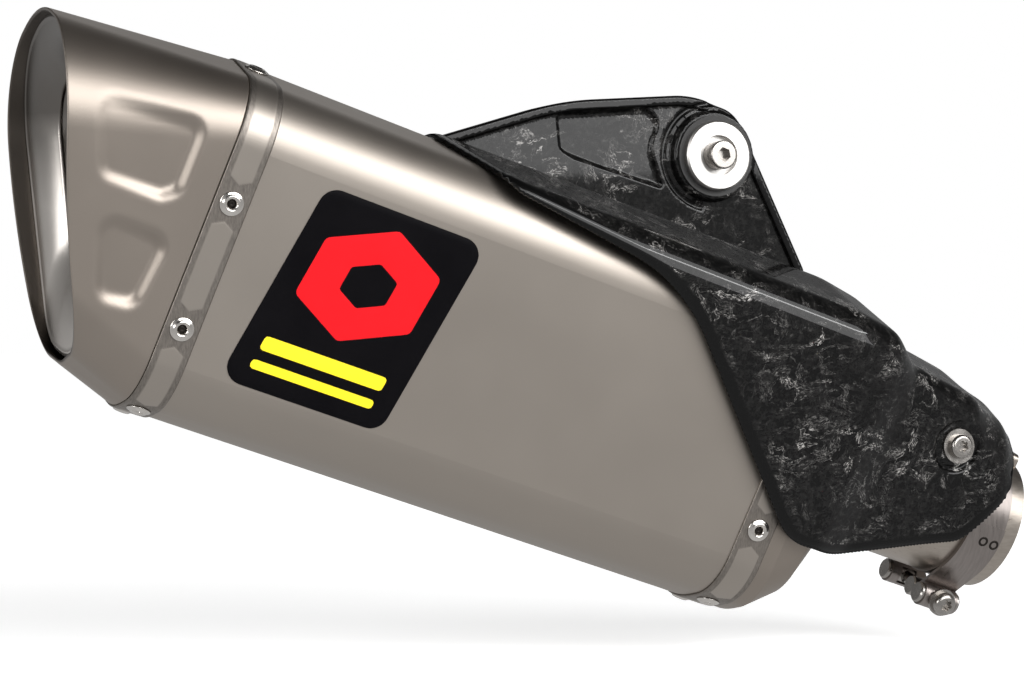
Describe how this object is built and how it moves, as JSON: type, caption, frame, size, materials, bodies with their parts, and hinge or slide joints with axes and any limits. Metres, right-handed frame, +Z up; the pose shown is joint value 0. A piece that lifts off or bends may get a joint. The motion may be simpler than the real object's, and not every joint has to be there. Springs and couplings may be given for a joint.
{
  "type": "racing exhaust silencer",
  "caption": "Slip-on motorcycle racing exhaust silencer: six-sided titanium canister with slash-cut outlet, carbon heat shield and hanger bracket, and a strap-clamped inlet pipe.",
  "frame": {"origin": "centre of the inlet mouth on the link pipe axis", "axes": "+X towards the front of the motorcycle, the way the engine pipe leaves; +Y towards the middle of the motorcycle; +Z up as mounted. The canister falls 18.7 degrees towards the inlet."},
  "size_m": [0.4711, 0.1325, 0.2695],
  "materials": {
    "titanium_sleeve": "bead-blasted titanium, warm grey",
    "titanium_cap": "bead-blasted titanium, slightly darker",
    "titanium_inner": "satin titanium",
    "titanium_pipe": "brushed titanium",
    "band_metal": "satin titanium with a brushed pattern",
    "rivet_metal": "polished steel",
    "weld": "heat-tinted weld",
    "core_steel": "perforated stainless steel",
    "wool": "stainless steel wool",
    "packing": "glass fibre packing",
    "forged_carbon": "clear-coated forged carbon flakes",
    "rubber": "matt black",
    "aluminium": "satin turned aluminium",
    "bolt_steel": "zinc-plated steel",
    "insert_brass": "plain",
    "clamp_steel": "satin stainless strip",
    "badge": "semi-gloss black with a plain coloured mark"
  },
  "bodies": {
    "silencer": {"outer_sleeve": "titanium_sleeve", "end_cap": "titanium_cap", "mouth_funnel": "titanium_inner", "outlet_tube": "titanium_inner", "outlet_band": "band_metal", "inlet_band": "band_metal", "outlet_band_rivets": "rivet_metal", "inlet_band_rivets": "rivet_metal", "outlet_baffle": "titanium_inner", "inlet_baffle": "titanium_inner", "core_tube": "core_steel", "steel_wool_wrap": "wool", "glass_packing": "packing", "inlet_cap": "titanium_cap", "link_pipe": "titanium_pipe", "inlet_weld_bead": "weld", "locating_tab": "titanium_pipe", "heat_shield": "forged_carbon", "shield_standoff": "titanium_pipe", "shield_washer": "bolt_steel", "shield_screw": "bolt_steel", "hanger_bracket": "forged_carbon", "bracket_lugs": "titanium_cap", "bracket_washers": "bolt_steel", "bracket_bolts": "bolt_steel", "bracket_inserts": "insert_brass", "rubber_grommet": "rubber", "grommet_sleeve": "aluminium", "hanger_washer": "bolt_steel", "badge_plate": "badge"},
    "clamp": {"clamp_strap": "clamp_steel", "clamp_liner": "clamp_steel", "head_trunnion": "bolt_steel", "retainer_barrel": "bolt_steel", "threaded_trunnion": "bolt_steel"},
    "clamp_bolt": {"clamp_bolt": "bolt_steel"},
    "hanger_bolt": {"hanger_bolt": "bolt_steel"}
  },
  "joints": [
    {"name": "clamp_swivel", "type": "hinge", "parent": "silencer", "child": "clamp", "pos_m": [0, 0, 0], "axis": [0.9472, 0, -0.3206], "range_deg": [-40, 100]},
    {"name": "clamp_bolt_turn", "type": "hinge", "parent": "clamp", "child": "clamp_bolt", "pos_m": [-0.0298, -0.00481, -0.03503], "axis": [0.0776, 0.9703, 0.2292], "continuous": true},
    {"name": "hanger_bolt_turn", "type": "hinge", "parent": "silencer", "child": "hanger_bolt", "pos_m": [-0.14865, 0, 0.17215], "axis": [0, 1, 0], "continuous": true}
  ]
}
